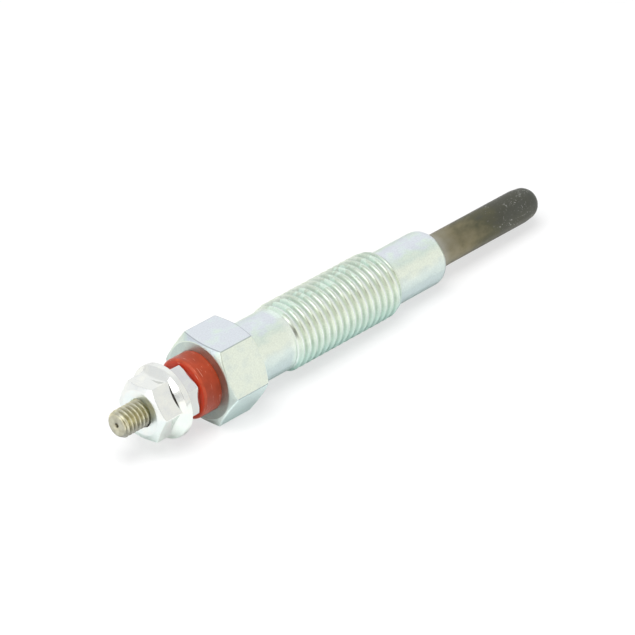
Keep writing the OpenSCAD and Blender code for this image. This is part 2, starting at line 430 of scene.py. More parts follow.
class TurnedMesh:
    """Closed mesh of a turned piece, made of rings round the axis of the plug."""

    def __init__(self, angles: np.ndarray, axis_height: float) -> None:
        """Start an empty mesh.

        Args:
            angles: Angles of the columns, from +Y towards +Z.
            axis_height: Height of the plug's axis.
        """
        self.angles = angles
        self.axis_height = axis_height
        self.points: list[Triple] = []
        self.faces: list[tuple[int, ...]] = []

    def _place(self, stations: np.ndarray, radii: np.ndarray, angles: np.ndarray) -> list[int]:
        """Add points round the axis.

        Args:
            stations: Stations of the points.
            radii: Their distances from the axis.
            angles: Their angles round the axis.

        Returns:
            Numbers of the points.
        """
        first = len(self.points)
        height = self.axis_height + radii * np.sin(angles)
        self.points.extend(zip(stations * MM, radii * np.cos(angles) * MM, height * MM))
        return list(range(first, len(self.points)))

    def _face(self, *numbers: int) -> None:
        """Add a face, unless fewer than three of its corners differ.

        Args:
            *numbers: Point numbers of its corners.
        """
        kept = tuple(dict.fromkeys(numbers))
        if len(kept) > 2:
            self.faces.append(kept)

    def strip(self, corners: Sequence[Corner]) -> tuple[list[int], list[int]]:
        """Add a stretch of an outline.

        Args:
            corners: Corners of the stretch.

        Returns:
            The point numbers of its first and its last ring.
        """
        rings = softened(corners, len(self.angles))
        numbers = [self._place(ring[:, 0], ring[:, 1], self.angles) for ring in rings]
        for near, far in zip(numbers, numbers[1:]):
            self.join(near, far)
        return numbers[0], numbers[-1]

    def join(self, near: list[int], far: list[int]) -> None:
        """Join two rings with a band of faces.

        Args:
            near: Point numbers of one ring.
            far: Point numbers of the other.
        """
        for column in range(len(near)):
            after = (column + 1) % len(near)
            self._face(near[column], near[after], far[after], far[column])

    def close(self, ring: list[int], station: float) -> None:
        """Close a ring with a point on the axis.

        Args:
            ring: Point numbers of the ring.
            station: Station of the point.
        """
        pole = len(self.points)
        self.points.append((station * MM, 0.0, self.axis_height * MM))
        for column in range(len(ring)):
            self._face(ring[column], ring[(column + 1) % len(ring)], pole)

    def wind(
        self,
        ends: tuple[list[int], list[int]],
        reach: Pair,
        thread: ScrewThread,
        trim: Callable[[np.ndarray, float], np.ndarray],
    ) -> None:
        """Wind a thread between two rings, with rows that follow the helix.

        Args:
            ends: Point numbers of the ring at the start and of the ring at the end.
            reach: Stations of the two rings.
            thread: Thread to wind.
            trim: Gives the radii at some stations of a row from the stations and the row's own radius.
        """
        snap = SNAP_SHARE * thread.pitch / thread.rows
        turns = math.ceil((reach[1] - reach[0]) / thread.pitch)
        grid = []
        for row in range(-thread.rows, turns * thread.rows + 1):
            stations = reach[0] + thread.pitch * (row / thread.rows + self.angles / TURN)
            inside = (stations > reach[0] + snap) & (stations < reach[1] - snap)
            line = np.where(stations <= reach[0] + snap, ends[0], ends[1])
            radii = trim(stations[inside], thread.radius(row))
            line[inside] = self._place(stations[inside], radii, self.angles[inside])
            grid.append(line.tolist())
        beyond = [ends[1][0]] * (thread.rows + 1)
        first_column = [line[0] for line in grid[thread.rows :]] + beyond
        for index in range(len(grid) - 1):
            near, far = grid[index], grid[index + 1]
            for column in range(len(near) - 1):
                self._face(near[column], near[column + 1], far[column + 1], far[column])
            self._face(near[-1], first_column[index], first_column[index + 1], far[-1])

    def build(self, name: str) -> bpy.types.Object:
        """Make the piece from the faces that were added.

        Args:
            name: Name of the piece.

        Returns:
            The piece, smoothly shaded, with its hard edges kept.
        """
        mesh = bpy.data.meshes.new(name)
        mesh.from_pydata(self.points, [], self.faces)
        shape = bmesh.new()
        shape.from_mesh(mesh)
        bmesh.ops.recalc_face_normals(shape, faces=shape.faces)
        for face in shape.faces:
            face.smooth = True
        shape.to_mesh(mesh)
        shape.free()
        mesh.set_sharp_from_angle(angle=math.radians(SHARP_ANGLE))
        piece = placed(name, mesh)
        weighting = piece.modifiers.new("weighted_normals", "WEIGHTED_NORMAL")
        weighting.keep_sharp = True
        return piece


class NodeTree:
    """Node tree, with short calls for the nodes that the finishes, the floor and the world share."""

    def __init__(self, owner: Union[bpy.types.Material, bpy.types.World]) -> None:
        """Start an empty tree.

        Args:
            owner: Material or world that the tree belongs to.
        """
        owner.use_nodes = True
        self.tree = owner.node_tree
        self.tree.nodes.clear()

    def add(self, kind: str, **settings: object) -> bpy.types.Node:
        """Add a node and set its properties.

        Args:
            kind: Kind of node.
            **settings: Value for each property.

        Returns:
            The node.
        """
        node = self.tree.nodes.new(kind)
        for key, value in settings.items():
            setattr(node, key, value)
        return node

    def feed(self, socket: Socket, value: object) -> None:
        """Link a socket to another one, or set its value.

        Args:
            socket: Socket to feed.
            value: Socket to link it to, or its value.
        """
        if isinstance(value, Socket):
            self.tree.links.new(value, socket)
        elif socket.type == "RGBA":
            socket.default_value = (*value, 1.0)
        else:
            socket.default_value = value

    def shader(self, kind: str, **values: object) -> Socket:
        """Add a shader.

        Args:
            kind: Kind of shader.
            **values: Value for each socket that is fed.

        Returns:
            Output of the shader.
        """
        node = self.add(kind)
        for name, value in values.items():
            self.feed(node.inputs[name], value)
        return node.outputs[0]

    def layered(self, share: Socket, below: Socket, above: Socket) -> Socket:
        """Lay a share of one shader over another.

        Args:
            share: Share of the shader above.
            below: Shader below.
            above: Shader above.

        Returns:
            The shader that shows.
        """
        node = self.add("ShaderNodeMixShader")
        for socket, value in zip(node.inputs, (share, below, above)):
            self.feed(socket, value)
        return node.outputs[0]

    def show(self, kind: str, surface: Socket) -> None:
        """Send a shader to an output of some kind."""
        self.feed(self.add(kind).inputs["Surface"], surface)

    def vector(self, operation: str, first: object, second: object) -> bpy.types.NodeOutputs:
        """Combine two vectors.

        Args:
            operation: Way of combining them.
            first: First vector.
            second: Second vector.

        Returns:
            Outputs of the node, of which one is a vector and one a value.
        """
        node = self.add("ShaderNodeVectorMath", operation=operation)
        self.feed(node.inputs[0], first)
        self.feed(node.inputs[1], second)
        return node.outputs

    def part(self, vector: Socket, axis: str) -> Socket:
        """Give one component of a vector.

        Args:
            vector: Vector to take apart.
            axis: Axis of the component.

        Returns:
            The component.
        """
        node = self.add("ShaderNodeSeparateXYZ")
        self.feed(node.inputs[0], vector)
        return node.outputs[axis]

    def scalar(self, operation: str, first: object, second: object = 0.0) -> Socket:
        """Combine two values, or change one.

        Args:
            operation: Way of combining or changing them.
            first: First value.
            second: Second value, where the operation needs one.

        Returns:
            The result.
        """
        node = self.add("ShaderNodeMath", operation=operation)
        self.feed(node.inputs[0], first)
        self.feed(node.inputs[1], second)
        return node.outputs[0]

    def sum(self, first: object, second: object) -> Socket:
        """Add two values."""
        return self.scalar("ADD", first, second)

    def times(self, first: object, second: object) -> Socket:
        """Multiply two values."""
        return self.scalar("MULTIPLY", first, second)

    def mapped(self, value: Socket, start: Pair, end: Pair, ease: str = "LINEAR") -> Socket:
        """Map a value from one range to another and hold it there.

        Args:
            value: Value to map.
            start: Range that it comes from.
            end: Range that it goes to.
            ease: Way of going from one end to the other.

        Returns:
            The mapped value.
        """
        node = self.add("ShaderNodeMapRange", interpolation_type=ease)
        self.feed(node.inputs["Value"], value)
        for name, limit in zip(("From Min", "From Max", "To Min", "To Max"), (*start, *end)):
            self.feed(node.inputs[name], limit)
        return node.outputs["Result"]

    def mixed(self, factor: object, first: object, second: object, blend: Blend = Blend.MIX) -> Socket:
        """Lay one colour over another.

        Args:
            factor: How much of the second colour shows.
            first: Colour below.
            second: Colour above.
            blend: Way of laying it.

        Returns:
            The colour that shows.
        """
        node = self.add("ShaderNodeMix", data_type="RGBA", blend_type=blend.value)
        colours = [socket for socket in node.inputs if socket.type == "RGBA"]
        self.feed(node.inputs[0], factor)
        self.feed(colours[0], first)
        self.feed(colours[1], second)
        return next(socket for socket in node.outputs if socket.type == "RGBA")


class NodeSheet(NodeTree):
    """Node tree of a finish, with one shader and with places in millimetres."""

    def __init__(self, name: str) -> None:
        """Start a material with one shader.

        Args:
            name: Name of the material.
        """
        self.material = bpy.data.materials.new(name)
        super().__init__(self.material)
        self.principled = self.add("ShaderNodeBsdfPrincipled")
        self.show("ShaderNodeOutputMaterial", self.principled.outputs["BSDF"])
        place = self.add("ShaderNodeTexCoord").outputs["Object"]
        self.place = self.scaled(place, (1 / MM, 1 / MM, 1 / MM))

    def set(self, **values: object) -> None:
        """Feed sockets of the shader.

        Args:
            **values: Value for each socket, with an underscore for each space in the socket's name.
        """
        names = {socket.name.lower().replace(" ", "_"): socket for socket in self.principled.inputs}
        for key, value in values.items():
            self.feed(names[key], value)

    def scaled(self, vector: Socket, factors: Triple) -> Socket:
        """Stretch a vector along its axes."""
        return self.vector("MULTIPLY", vector, factors)["Vector"]

    def from_axis(self, axis_height: float) -> Socket:
        """Give the place as counted from the plug's axis."""
        return self.vector("SUBTRACT", self.place, (0.0, 0.0, axis_height))["Vector"]

    def across(self, vector: Socket) -> Socket:
        """Measure a vector as it is seen along the plug's axis.

        Args:
            vector: Vector to measure.

        Returns:
            Its length across the axis.
        """
        up = self.part(vector, "Z")
        aside = self.part(vector, "Y")
        square = self.sum(self.times(up, up), self.times(aside, aside))
        return self.scalar("SQRT", square)

    def along(self) -> Socket:
        """Give the station on the plug's axis."""
        return self.part(self.place, "X")

    def normal(self) -> Socket:
        """Give the direction that the surface faces."""
        return self.add("ShaderNodeNewGeometry").outputs["Normal"]

    def forward(self) -> Socket:
        """Give -1 where the surface faces the stud's end and 1 where it faces the heater's tip."""
        return self.part(self.normal(), "X")

    def lean(self) -> Socket:
        """Tell how far the surface looks up, whatever its slope along the axis.

        Returns:
            0 where it looks down and 1 where it looks up.
        """
        direction = self.normal()
        length = self.scalar("MAXIMUM", self.across(direction), LEAST_ACROSS)
        upward = self.scalar("DIVIDE", self.part(direction, "Z"), length)
        return self.mapped(upward, (-1.0, 1.0), RISE)

    def noise(self, grade: Noise) -> Socket:
        """Make noise.

        Args:
            grade: Patches per millimetre along X, Y and Z, and octaves of finer noise.

        Returns:
            A value from 0 to 1, mostly near 0.5.
        """
        per_mm, detail = grade
        node = self.add("ShaderNodeTexNoise")
        self.feed(node.inputs["Vector"], self.scaled(self.place, per_mm))
        self.feed(node.inputs["Scale"], 1.0)
        self.feed(node.inputs["Detail"], detail)
        return node.outputs["Fac"]

    def patches(self, grade: Noise, start: Pair, end: Pair) -> Socket:
        """Make noise, map it from one range to another and hold it there."""
        return self.mapped(self.noise(grade), start, end)

    def ramp(self, value: Socket, stops: Stops) -> Socket:
        """Look a colour up between stops.

        Args:
            value: Place between the stops.
            stops: Places from 0 to 1, with their colours.

        Returns:
            The colour.
        """
        node = self.add("ShaderNodeValToRGB")
        elements = node.color_ramp.elements
        while len(elements) < len(stops):
            elements.new(1.0)
        for element, (position, colour) in zip(elements, stops):
            element.position = position
            element.color = (*colour, 1.0)
        self.feed(node.inputs["Fac"], value)
        return node.outputs["Color"]

    def tinted(self, factor: object, colour: Socket, tint: object) -> Socket:
        """Multiply a share of a colour by a tint."""
        return self.mixed(factor, colour, self.mixed(1.0, colour, tint, Blend.MULTIPLY))

    def bump(self, height: Socket, depth: float) -> None:
        """Raise the surface.

        Args:
            height: Height from 0 to 1.
            depth: How far a height of 1 rises, in millimetres.
        """
        node = self.add("ShaderNodeBump")
        self.feed(node.inputs["Height"], height)
        self.feed(node.inputs["Distance"], depth * MM)
        self.feed(node.inputs["Strength"], 1.0)
        self.set(normal=node.outputs["Normal"])


class Finish:
    """Look of a surface."""

    def material(self) -> bpy.types.Material:
        """Make the material."""
        raise NotImplementedError


@dataclass(frozen=True)
class RolledStretch:
    """Threaded stretch of a plated piece, smoother than the rest, with painted light that makes its roots
    paler.

    Attributes:
        start: Station where the stretch starts.
        end: Station where it ends.
        film_and_shade: Colours from faces that look down to faces that look up: the film's tint, with
            painted light and shade.
        polish: Share of the roughness that is left.
        grain: Share of the grain that is left.
        painted_root_light: Colour of the painted light in the roots, where shade falls.
        roots: Radii where the painted root light is whole and where it has faded.
        axis_height: Height of the plug's axis.
        fade: Length over which the stretch starts and ends.
    """

    start: float
    end: float
    film_and_shade: Stops
    polish: float
    grain: float
    painted_root_light: Triple
    roots: Pair
    axis_height: float
    fade: float = 1.0

    def inside(self, sheet: NodeSheet) -> Socket:
        """Mark the stretch.

        Args:
            sheet: Node tree of the finish.

        Returns:
            1 on the stretch and 0 beside it.
        """
        along = sheet.along()
        after_start = sheet.mapped(along, (self.start, self.start + self.fade), RISE)
        before_end = sheet.mapped(along, (self.end - self.fade, self.end), FALL)
        return sheet.times(after_start, before_end)

    def rooted(self, sheet: NodeSheet) -> Socket:
        """Give 1 in the roots of the thread and 0 on its crests."""
        return sheet.mapped(sheet.across(sheet.from_axis(self.axis_height)), self.roots, FALL)


@dataclass(frozen=True)
class HexEdges:
    """Painted shade in grey lines along the edges of a hexagon that lies on one of its flats, and painted
    light that makes its lower flats paler.

    Attributes:
        start: Station where the hexagon starts.
        end: Station where it ends.
        tint: Colour of the painted shade along the edges.
        lower: Colour of the painted light on the flats that look down.
        lower_lean: Lean up to which a flat counts as a lower one, and from which it does not.
        upper_lean: Lean from which a chamfer starts to belong to the upper flat, and from which it does.
        corner_turn: Cosine of six times the lean's angle, on an edge between two flats and beside it.
        corner_slope: Slope along the axis at which those edges start to fade, and at which they end.
        line_rise: Slope at which the line round the upper flat starts, and at which it is whole.
        line_fall: Slope at which that line starts to fade, and at which it ends.
    """

    start: float
    end: float
    tint: Triple
    lower: Triple
    lower_lean: Pair = (0.3, 0.4)
    upper_lean: Pair = (0.9, 0.96)
    corner_turn: Pair = (0.0, 0.7)
    corner_slope: Pair = (0.1, 0.25)
    line_rise: Pair = (0.08, 0.2)
    line_fall: Pair = (0.6, 0.8)

    def inside(self, sheet: NodeSheet) -> Socket:
        """Mark the hexagon.

        Args:
            sheet: Node tree of the finish.

        Returns:
            1 on the hexagon and 0 beside it.
        """
        along = sheet.along()
        after_start = sheet.scalar("GREATER_THAN", along, self.start)
        before_end = sheet.scalar("LESS_THAN", along, self.end)
        return sheet.times(after_start, before_end)

    def below(self, sheet: NodeSheet) -> Socket:
        """Give 1 on the flats that look down and 0 elsewhere."""
        return sheet.times(sheet.mapped(sheet.lean(), self.lower_lean, FALL), self.inside(sheet))

    def lines(self, sheet: NodeSheet) -> Socket:
        """Mark the edges between two flats and round the upper flat, where shade is painted.

        Args:
            sheet: Node tree of the finish.

        Returns:
            1 on the edges and 0 elsewhere.
        """
        slope = sheet.scalar("ABSOLUTE", sheet.forward())
        lean = sheet.lean()
        angle = sheet.scalar("ARCCOSINE", sheet.mapped(lean, RISE, (-1.0, 1.0)))
        six_fold = sheet.scalar("COSINE", sheet.times(angle, SIDES))
        corner = sheet.mapped(six_fold, self.corner_turn, FALL)
        beside = sheet.times(corner, sheet.mapped(slope, self.corner_slope, FALL))
        rising = sheet.mapped(slope, self.line_rise, RISE)
        falling = sheet.mapped(slope, self.line_fall, FALL)
        upper = sheet.mapped(lean, self.upper_lean, RISE)
        ahead = sheet.times(sheet.times(rising, falling), upper)
        return sheet.times(sheet.scalar("MAXIMUM", beside, ahead), self.inside(sheet))


@dataclass(frozen=True)
class ZincFinish(Finish):
    """Chromated zinc plating, whose film turns from teal below to yellow-green and lavender above, with
    painted light and shade by which way each face looks.

    Attributes:
        name: Name of the material.
        film_and_shade: Colours from faces that look down to faces that look up: the film's tint, with
            painted light and shade.
        drift: How far the film's colours stray from their places.
        roughness: Least and greatest roughness.
        grain: Depth of the satin grain.
        speckle: Darkest and brightest share of the colour in the grain.
        edge: Tint of the reflections near the outline.
        front: Painted shade and a painted cast of colour on the faces and chamfers that look to the stud's
            end, from those that lean down to those that lean up.
        front_rough: Roughness that these faces have in addition.
        thread: Threaded stretch, if there is one.
        edges: Painted shade along the edges of a hexagon and painted light on its lower flats, if there is
            a hexagon.
    """

    # Noise in the film, the roughness and the grain
    FILM_NOISE = ((0.5, 0.7, 0.7), 3.0)
    ROUGH_NOISE = ((1.5, 2.5, 2.5), 2.0)
    GRAIN_NOISE = ((5.0, 5.0, 5.0), 2.0)
    # Forward facing of the faces that are the front, and of those that no longer are
    FRONT_FACES = (-0.9, -0.8)

    name: str
    film_and_shade: Stops
    drift: float
    roughness: Pair
    grain: float
    speckle: Pair
    edge: Triple
    front: Stops
    front_rough: float
    thread: Optional[RolledStretch] = None
    edges: Optional[HexEdges] = None

    def material(self) -> bpy.types.Material:
        """Make the material.

        Returns:
            The material.
        """
        sheet = NodeSheet(self.name)
        stray = sheet.patches(self.FILM_NOISE, WHOLE, (-self.drift, self.drift))
        lean = sheet.sum(sheet.lean(), stray)
        # The film's tint by which way the face looks, with painted light and shade
        film_and_shade = sheet.ramp(lean, self.film_and_shade)
        rough = sheet.patches(self.ROUGH_NOISE, MOST, self.roughness)
        grain = sheet.noise(self.GRAIN_NOISE)
        relief = grain
        if self.thread is not None:
            inside = self.thread.inside(sheet)
            # Film tint of the thread, with painted light and shade by which way each face looks
            film_and_shade = sheet.mixed(inside, film_and_shade, sheet.ramp(lean, self.thread.film_and_shade))
            # Painted light in the thread's roots, which lightens the shade that falls there
            film_and_shade = sheet.mixed(sheet.times(inside, self.thread.rooted(sheet)), film_and_shade, self.thread.painted_root_light)
            rough = sheet.times(rough, sheet.mapped(inside, RISE, (1.0, self.thread.polish)))
            relief = sheet.times(grain, sheet.mapped(inside, RISE, (1.0, self.thread.grain)))
        if self.edges is not None:
            # Painted light on the hexagon's lower flats, and painted shade in grey lines along its edges
            film_and_shade = sheet.mixed(self.edges.below(sheet), film_and_shade, self.edges.lower)
            film_and_shade = sheet.tinted(self.edges.lines(sheet), film_and_shade, self.edges.tint)
        # Painted shade and a painted cast on the faces that look to the stud's end
        facing = sheet.mapped(sheet.forward(), self.FRONT_FACES, FALL)
        film_and_shade = sheet.tinted(facing, film_and_shade, sheet.ramp(sheet.lean(), self.front))
        rough = sheet.sum(rough, sheet.times(facing, self.front_rough))
        shade = sheet.mapped(grain, MOST, self.speckle)
        colour = sheet.mixed(1.0, film_and_shade, shade, Blend.MULTIPLY)
        sheet.set(base_color=colour, metallic=1.0, roughness=rough, specular_tint=self.edge)
        sheet.bump(relief, self.grain)
        return sheet.material


@dataclass(frozen=True)
class RodFinish(Finish):
    """Turned and rolled steel with an olive tinge, with painted light and shade by which way each face
    looks and painted shade in its centre mark.

    Attributes:
        name: Name of the material.
        steel_and_shade: Colours from faces that look down to faces that look up: the steel's tinge, with
            painted light and shade.
        tarnish: Tint of the tarnish.
        dimple_shade: Colour of the painted shade in the centre mark.
        dimple_edge: Distances from the axis where the painted shade of the mark starts to fade and where it
            ends.
        ring_pitch: Distance between the marks of the turning tool.
        ring_waver: How far these marks waver.
        roughness: Least and greatest roughness.
        grain: Depth of the marks.
        grain_share: Depth of the finer grain, as a share of theirs.
        axis_height: Height of the plug's axis.
    """

    # Noise in the tarnish and in the grain
    TARNISH_NOISE = ((1.2, 1.2, 1.2), 3.0)
    GRAIN_NOISE = ((7.0, 3.0, 3.0), 2.0)
    # Forward facing of the end face, and of what no longer belongs to it
    END_FACE = (-1.0, -0.85)
    # Scale of the wave texture that has one ring to a millimetre
    RING_SCALE = 0.314

    name: str
    steel_and_shade: Stops
    tarnish: Triple
    dimple_shade: Triple
    dimple_edge: Pair
    ring_pitch: float
    ring_waver: float
    roughness: Pair
    grain: float
    grain_share: float
    axis_height: float

    def material(self) -> bpy.types.Material:
        """Make the material.

        Returns:
            The material.
        """
        sheet = NodeSheet(self.name)
        grain = sheet.noise(self.GRAIN_NOISE)
        # Steel's tinge by which way the face looks, with painted light and shade
        steel_and_shade = sheet.ramp(sheet.lean(), self.steel_and_shade)
        colour = sheet.tinted(sheet.patches(self.TARNISH_NOISE, CORE, RISE), steel_and_shade, self.tarnish)
        centred = sheet.from_axis(self.axis_height)
        # Painted shade in the centre mark
        dimple_shade = sheet.mapped(sheet.across(centred), self.dimple_edge, FALL)
        colour = sheet.tinted(dimple_shade, colour, self.dimple_shade)
        sheet.set(base_color=colour, metallic=1.0, roughness=sheet.mapped(grain, MOST, self.roughness))
        rings = sheet.add("ShaderNodeTexWave", wave_type="RINGS", rings_direction="X")
        sheet.feed(rings.inputs["Vector"], centred)
        sheet.feed(rings.inputs["Scale"], self.RING_SCALE / self.ring_pitch)
        sheet.feed(rings.inputs["Distortion"], self.ring_waver)
        facing = sheet.mapped(sheet.forward(), self.END_FACE, FALL)
        marks = sheet.times(rings.outputs["Fac"], facing)
        sheet.bump(sheet.sum(marks, sheet.times(grain, self.grain_share)), self.grain)
        return sheet.material


@dataclass(frozen=True)
class MouldingFinish(Finish):
    """Moulded plastic, half glossy, with fine pale scratches round it, a painted highlight on its rounded
    front edge and painted light on its front face.

    Attributes:
        name: Name of the material.
        body: Colour of the plastic.
        deep: Colour of its darker patches.
        scratch: Colour of the scratches.
        scratch_share: Least and greatest share of that colour along a scratch.
        rim_highlight: Colour of the painted highlight on the rounded front edge.
        rim_highlight_share: Least and greatest share of the painted highlight.
        painted_front_light: Colour of the painted light on the front face next to the nut, where light
            bounces between the jam nut and the bush.
        roughness: Least and greatest roughness.
        gloss: Strength of the reflections.
        grain: Depth of the grain.
    """

    # Noise in the colour, the scratches, their breaks, the painted highlight on the front edge and the
    # grain
    BODY_NOISE = ((0.8, 0.8, 0.8), 3.0)
    LINE_NOISE = ((11.0, 0.35, 0.35), 1.0)
    BREAK_NOISE = ((0.6, 1.1, 1.1), 1.0)
    RIM_HIGHLIGHT_NOISE = ((1.0, 1.3, 1.3), 2.0)
    GRAIN_NOISE = ((6.0, 6.0, 6.0), 2.0)
    # Noise from which scratches and unbroken stretches start, and from which they are whole
    LINES = (0.68, 0.73)
    BREAKS = (0.45, 0.55)
    # Forward facing where the rounded edge starts and ends, and where the front face does
    EDGE_START = (-0.3, -0.1)
    EDGE_END = (-0.95, -0.75)
    FRONT_FACE = (-0.97, -0.8)

    name: str
    body: Triple
    deep: Triple
    scratch: Triple
    scratch_share: Pair
    rim_highlight: Triple
    rim_highlight_share: Pair
    painted_front_light: Triple
    roughness: Pair
    gloss: float
    grain: float

    def material(self) -> bpy.types.Material:
        """Make the material.

        Returns:
            The material.
        """
        sheet = NodeSheet(self.name)
        body = sheet.mixed(sheet.patches(self.BODY_NOISE, CORE, RISE), self.body, self.deep)
        lines = sheet.patches(self.LINE_NOISE, self.LINES, RISE)
        scratched = sheet.times(lines, sheet.patches(self.BREAK_NOISE, self.BREAKS, self.scratch_share))
        grain = sheet.noise(self.GRAIN_NOISE)
        forward = sheet.forward()
        after_start = sheet.mapped(forward, self.EDGE_START, FALL)
        rounded = sheet.times(after_start, sheet.mapped(forward, self.EDGE_END, RISE))
        # Painted highlight on the rounded front edge, broken into patches
        highlight_patches = sheet.patches(self.RIM_HIGHLIGHT_NOISE, CORE, self.rim_highlight_share)
        body = sheet.mixed(sheet.times(rounded, highlight_patches), body, self.rim_highlight)
        # Painted light on the front face
        body = sheet.mixed(sheet.mapped(forward, self.FRONT_FACE, FALL), body, self.painted_front_light)
        colour = sheet.mixed(scratched, body, self.scratch)
        rough = sheet.mapped(grain, MOST, self.roughness)
        sheet.set(base_color=colour, roughness=rough, specular_ior_level=self.gloss)
        sheet.bump(grain, self.grain)
        return sheet.material


@dataclass(frozen=True)
class HeaterFinish(Finish):
    """Heat-stained alloy tube, pale at the nose, straw brown next to it and dark olive towards its tip,
    with painted light on its lower side.

    Attributes:
        name: Name of the material.
        start: Station where the tube leaves the nose.
        end: Station of the tip.
        stain: Colours from the nose to the tip.
        stray: How far these colours stray from their places, as a share of the tube.
        pale: Colour of the unstained tube at the nose.
        painted_underside_light: Colour of the painted light on its lower side.
        scuff: Colour of the scuffs.
        edge: Tint of the reflections near the outline.
        roughness: Least and greatest roughness.
        grain: Depth of the grain.
    """

    # Noise in the stain, the specks, the scratches, their clusters and the grain
    STAIN_NOISE = ((0.35, 0.5, 0.5), 3.0)
    SPECK_NOISE = ((2.6, 3.4, 3.4), 1.0)
    SCRATCH_NOISE = ((6.0, 1.3, 2.6), 1.0)
    CLUSTER_NOISE = ((0.4, 0.6, 0.6), 1.0)
    GRAIN_NOISE = ((2.0, 7.0, 7.0), 2.0)
    # Noise from which marks and clusters start and are whole, and how much of them shows
    MARKS = (0.66, 0.71)
    SCRATCH_SHARE = (0.0, 0.8)
    CLUSTERS = (0.42, 0.56)
    CLUSTER_SHARE = (0.1, 1.0)
    # Shares of the tube's length and leans between which the marks, the pale tube and the painted light on
    # the lower side change
    MARKED_LENGTH = (0.42, 0.62)
    PALE_LENGTH = (0.0, 0.08)
    PALE_SHARE = (0.6, 0.0)
    UNDERSIDE_LIGHT_LEAN = (0.1, 0.45)
    UNDERSIDE_LIGHT_SHARE = (0.5, 0.0)

    name: str
    start: float
    end: float
    stain: Stops
    stray: float
    pale: Triple
    painted_underside_light: Triple
    scuff: Triple
    edge: Triple
    roughness: Pair
    grain: float

    def material(self) -> bpy.types.Material:
        """Make the material.

        Returns:
            The material.
        """
        sheet = NodeSheet(self.name)
        along = sheet.mapped(sheet.along(), (self.start, self.end), RISE)
        stray = sheet.patches(self.STAIN_NOISE, WHOLE, (-self.stray, self.stray))
        stain = sheet.ramp(sheet.sum(along, stray), self.stain)
        paled = sheet.mapped(along, self.PALE_LENGTH, self.PALE_SHARE)
        stain = sheet.mixed(paled, stain, self.pale)
        # Painted light on the lower side of the tube
        underside_lit = sheet.mapped(sheet.lean(), self.UNDERSIDE_LIGHT_LEAN, self.UNDERSIDE_LIGHT_SHARE)
        stain = sheet.mixed(underside_lit, stain, self.painted_underside_light)
        specks = sheet.patches(self.SPECK_NOISE, self.MARKS, RISE)
        scratches = sheet.patches(self.SCRATCH_NOISE, self.MARKS, self.SCRATCH_SHARE)
        clusters = sheet.patches(self.CLUSTER_NOISE, self.CLUSTERS, self.CLUSTER_SHARE)
        marks = sheet.times(sheet.scalar("MAXIMUM", specks, scratches), clusters)
        shown = sheet.times(marks, sheet.mapped(along, self.MARKED_LENGTH, RISE))
        colour = sheet.mixed(shown, stain, self.scuff)
        grain = sheet.noise(self.GRAIN_NOISE)
        rough = sheet.mapped(grain, MOST, self.roughness)
        sheet.set(base_color=colour, metallic=1.0, roughness=rough, specular_tint=self.edge)
        sheet.bump(grain, self.grain)
        return sheet.material


@dataclass(frozen=True)
class InnerFinish(Finish):
    """Plain finish of a piece inside the plug, with a fine grain.

    Attributes:
        name: Name of the material.
        body: Colour of the material.
        deep: Colour in the hollows of its grain.
        metallic: 1 for metal, 0 for the rest.
        roughness: Least and greatest roughness.
        grain: Depth of the grain.
    """

    # Noise in the grain
    GRAIN_NOISE = ((4.0, 4.0, 4.0), 3.0)

    name: str
    body: Triple
    deep: Triple
    metallic: float
    roughness: Pair
    grain: float

    def material(self) -> bpy.types.Material:
        """Make the material.

        Returns:
            The material.
        """
        sheet = NodeSheet(self.name)
        grain = sheet.noise(self.GRAIN_NOISE)
        colour = sheet.mixed(sheet.mapped(grain, CORE, RISE), self.deep, self.body)
        rough = sheet.mapped(grain, MOST, self.roughness)
        sheet.set(base_color=colour, metallic=self.metallic, roughness=rough)
        sheet.bump(grain, self.grain)
        return sheet.material


def dress(piece: bpy.types.Object, node: str, finish: Finish) -> bpy.types.Object:
    """Give a piece its finish and set it in the place of a solid.

    Args:
        piece: Piece to dress.
        node: Solid that the piece stands for.
        finish: Finish of the piece.

    Returns:
        The same piece.
    """
    piece.data.materials.append(finish.material())
    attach(piece, BODY)
    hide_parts(node)
    return piece


def chamfer_length(sides: np.ndarray, face: float, angle: float) -> np.ndarray:
    """Give the length of a turned chamfer along the axis, from a round face to each side of a hexagon."""
    return (sides - face) * math.tan(math.radians(angle))


# Thread of the stud, and the distance from the stud's face to its start
STUD_THREAD = ScrewThread(
    crest=1.95, root=1.5, pitch=0.7, first_crest=0.0, crest_share=0.16, root_share=0.16, rows=12
)
STUD_FACE = 0.12


